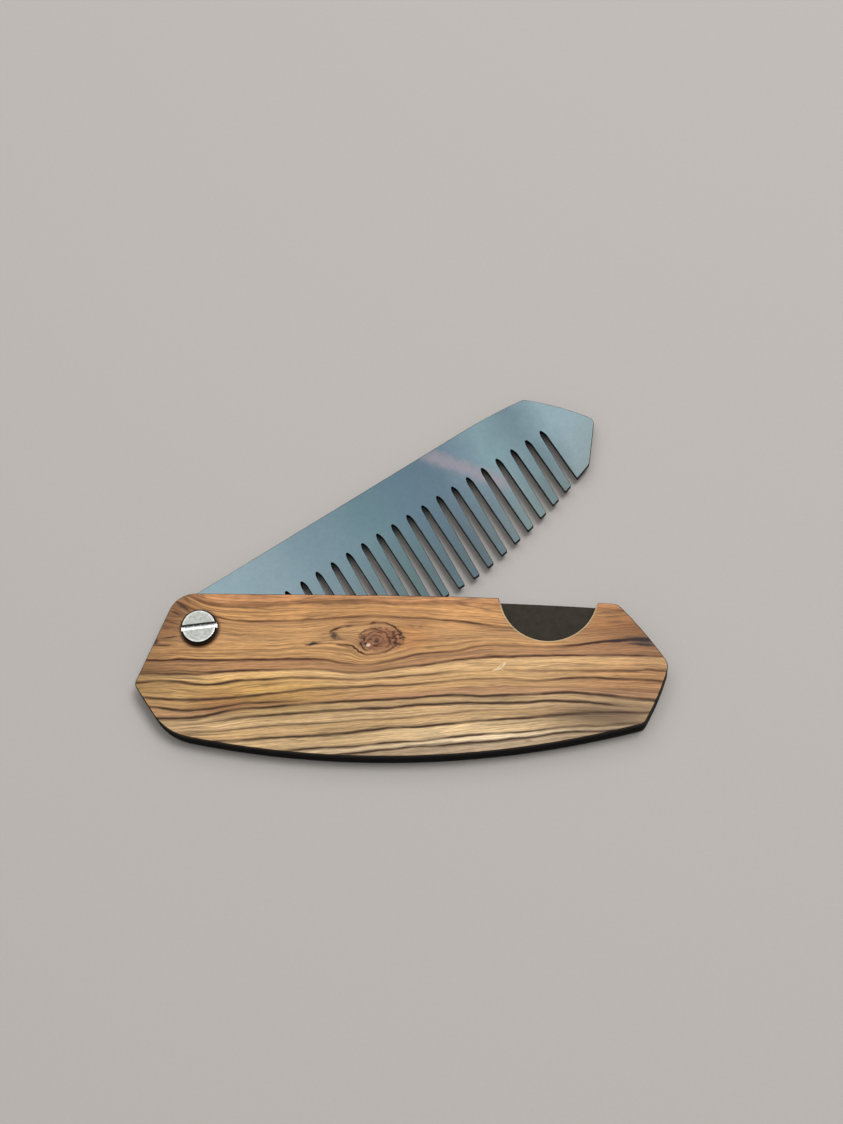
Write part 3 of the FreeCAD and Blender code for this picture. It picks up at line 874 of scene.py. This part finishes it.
    # The satin finish: short fine scratches along the blade, in its gloss and its relief.
    drawn = add(
        tree, "ShaderNodeMapping",
        {"Vector": turned_place, "Scale": (1 / SATIN_MM[0], 1 / SATIN_MM[1], 0.0)},
    )
    satin = add(tree, "ShaderNodeTexNoise", {"Vector": drawn, "Scale": 1.0, "Detail": 2.0})
    gloss = add(tree, "ShaderNodeMapRange", {"Value": satin, "To Min": 0.34, "To Max": 0.46})
    bump = add(
        tree, "ShaderNodeBump", {"Height": satin, "Strength": 0.12, "Distance": SATIN_DEPTH_MM * MM}
    )
    connect(tree, shader, Base_Color=colour, Roughness=gloss, Normal=bump)
    return material


def scorched_steel():
    """Laser-cut steel edge: black scale with fine upright ribs that catch a little light."""
    material, tree, shader = new_material(
        "scorched_steel", Metallic=0.6, Roughness=0.5, Specular_IOR_Level=0.2
    )
    ribs = laser_ribs(tree, add(tree, "ShaderNodeTexCoord", out="Object"))
    shade = add(tree, "ShaderNodeMapRange", {"Value": ribs, "To Min": 0.4, "To Max": 2.0})
    colour = add(
        tree, "ShaderNodeMix", {0: 1.0, 6: linear(BLADE_EDGE), 7: shade},
        out=2, data_type="RGBA", blend_type="MULTIPLY",
    )
    bump = add(
        tree, "ShaderNodeBump", {"Height": ribs, "Strength": 0.3, "Distance": EDGE_RIB_DEPTH_MM * MM}
    )
    connect(tree, shader, Base_Color=colour, Normal=bump)
    return material


blade = eased_copy("comb_blade", BLADE_EASE_MM)
split_by_side(blade, heat_tinted_steel(), scorched_steel())
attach(blade, "comb")
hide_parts("comb_blade")

# ---------------------------------------------------------------------------------------------
# Washers. Two thin bronze rings punched from sheet, one on each side of the blade, that keep it
# from rubbing on the scales.
BRONZE = "A8814F"
WASHER_RINGS_MM = 2.5


def punched_bronze():
    """Phosphor bronze sheet: warm, evenly rubbed, with fine rings worn in by the blade."""
    material, tree, shader = new_material("punched_bronze", Metallic=1.0)
    place = add(tree, "ShaderNodeTexCoord", out="Object")
    worn = add(
        tree, "ShaderNodeTexWave",
        {"Vector": place, "Scale": 1 / (WASHER_RINGS_MM * MM), "Distortion": 1.5},
        out="Fac", wave_type="RINGS", rings_direction="Z",
    )
    shade = add(tree, "ShaderNodeMapRange", {"Value": worn, "To Min": 0.85, "To Max": 1.1})
    colour = add(
        tree, "ShaderNodeMix", {0: 1.0, 6: linear(BRONZE), 7: shade},
        out=2, data_type="RGBA", blend_type="MULTIPLY",
    )
    gloss = add(tree, "ShaderNodeMapRange", {"Value": worn, "To Min": 0.28, "To Max": 0.42})
    connect(tree, shader, Base_Color=colour, Roughness=gloss)
    return material


bronze = punched_bronze()
finish_node("front_washer", bronze)
finish_node("back_washer", bronze)

# ---------------------------------------------------------------------------------------------
# Pivot. A slotted binding screw with a flat 8 mm head turns into a post whose head is let into
# the back scale. Both are turned steel, nickel plated, and the slot was sawn last.
SCREW_EASE_MM = 0.06
NICKEL = "A1A39E"
NICKEL_PAINTED_SHADE = "2A2825"
BARE_STEEL_AND_HIGHLIGHT = "F1F2EF"
TURNING_MM = 0.16
SCUFF_MM = (1.6, 0.1)
SCUFF_TURN = 0.9
GRIT_MM = 0.6
RIM_HIGHLIGHT_MM = (3.1, 3.6)  # the radii between which the head turns brighter, a painted highlight strongest at its rim
RIM_HIGHLIGHT_GAIN = 1.6
BARE_AND_HIGHLIGHT_MM = (0.1, 0.03)  # heights over the slot's floor between which the sawn metal and its painted highlight begin
PLATE_RELIEF_MM = 0.008


def plated_nickel(name, slot_level=None):
    """Nickel plate on turned steel: bright satin with faint turning rings, scuffs and speckle."""
    material, tree, shader = new_material(name, Metallic=1.0)
    place = add(tree, "ShaderNodeTexCoord", out="Object")
    rings = add(
        tree, "ShaderNodeTexWave",
        {"Vector": place, "Scale": 1 / (TURNING_MM * MM) / 20, "Distortion": 0.6, "Detail": 1.0},
        out="Fac", wave_type="RINGS", rings_direction="Z",
    )
    drawn = add(
        tree, "ShaderNodeMapping",
        {"Vector": place, "Rotation": (0.0, 0.0, SCUFF_TURN),
         "Scale": (1 / (SCUFF_MM[0] * MM), 1 / (SCUFF_MM[1] * MM), 0.0)},
    )
    scuffs = add(tree, "ShaderNodeTexNoise", {"Vector": drawn, "Scale": 1.0, "Detail": 2.0})
    grit = add(
        tree, "ShaderNodeTexNoise", {"Vector": place, "Scale": 1 / (GRIT_MM * MM), "Detail": 3.0}
    )
    wear = add(tree, "ShaderNodeMath", {0: scuffs, 1: grit}, operation="MULTIPLY")
    shade = add(
        tree, "ShaderNodeMapRange",
        {"Value": wear, "From Min": 0.16, "From Max": 0.36, "To Min": 0.73, "To Max": 1.15},
    )
    # Steep faces, the heads' chamfers and sides, take the darker colour: painted shade, a painted
    # reflection of the dim room round them.
    normal = add(tree, "ShaderNodeNewGeometry", out="Normal")
    rise = add(tree, "ShaderNodeSeparateXYZ", {0: normal}, out="Z")
    flatness = add(tree, "ShaderNodeMath", {0: rise}, operation="ABSOLUTE")
    painted_shade_mask = add(
        tree, "ShaderNodeMapRange", {"Value": flatness, "From Min": 0.9, "From Max": 0.985}
    )
    # Toward its rim the head is painted brighter: a painted highlight.
    around = add(
        tree, "ShaderNodeVectorMath", {0: place, 1: (1 / MM, 1 / MM, 0.0)}, operation="MULTIPLY"
    )
    out_mm = add(tree, "ShaderNodeVectorMath", {0: around}, out="Value", operation="LENGTH")
    rim_highlight = add(
        tree, "ShaderNodeMapRange",
        {"Value": out_mm, "From Min": RIM_HIGHLIGHT_MM[0], "From Max": RIM_HIGHLIGHT_MM[1], "To Min": 1.0,
         "To Max": RIM_HIGHLIGHT_GAIN},
    )
    shade = add(tree, "ShaderNodeMath", {0: shade, 1: rim_highlight}, operation="MULTIPLY")
    tone = add(
        tree, "ShaderNodeMix", {0: painted_shade_mask, 6: linear(NICKEL_PAINTED_SHADE), 7: linear(NICKEL)},
        out=2, data_type="RGBA",
    )
    # The saw cut through the plate, so the slot's floor is bare steel, painted brighter still as a
    # highlight.
    if slot_level is not None:
        height = add(tree, "ShaderNodeSeparateXYZ", {0: place}, out="Z")
        bare_and_highlight = add(
            tree, "ShaderNodeMapRange",
            {"Value": height, "From Min": slot_level + BARE_AND_HIGHLIGHT_MM[0] * MM,
             "From Max": slot_level + BARE_AND_HIGHLIGHT_MM[1] * MM},
        )
        bare_and_highlight = add(tree, "ShaderNodeMath", {0: bare_and_highlight, 1: painted_shade_mask}, operation="MULTIPLY")
        tone = add(
            tree, "ShaderNodeMix", {0: bare_and_highlight, 6: tone, 7: linear(BARE_STEEL_AND_HIGHLIGHT)},
            out=2, data_type="RGBA",
        )
    colour = add(
        tree, "ShaderNodeMix", {0: 1.0, 6: tone, 7: shade},
        out=2, data_type="RGBA", blend_type="MULTIPLY",
    )
    gloss = add(
        tree, "ShaderNodeMapRange",
        {"Value": wear, "From Min": 0.12, "From Max": 0.4, "To Min": 0.38, "To Max": 0.24},
    )
    relief = add(tree, "ShaderNodeMath", {0: rings, 1: scuffs}, operation="ADD")
    bump = add(
        tree, "ShaderNodeBump", {"Height": relief, "Strength": 0.15, "Distance": PLATE_RELIEF_MM * MM}
    )
    connect(tree, shader, Base_Color=colour, Roughness=gloss, Normal=bump)
    return material


post = eased_copy("pivot_post", SCREW_EASE_MM)
post.data.materials.append(plated_nickel("plated_nickel"))
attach(post, "handle")
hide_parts("pivot_post")

SLOT_DEPTH = 1.0 * MM
slot_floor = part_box("pivot_screw")[1].z - SLOT_DEPTH
screw = eased_copy("pivot_screw", SCREW_EASE_MM)
screw.data.materials.append(plated_nickel("plated_nickel_slotted", slot_floor))
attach(screw, "handle")
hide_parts("pivot_screw")
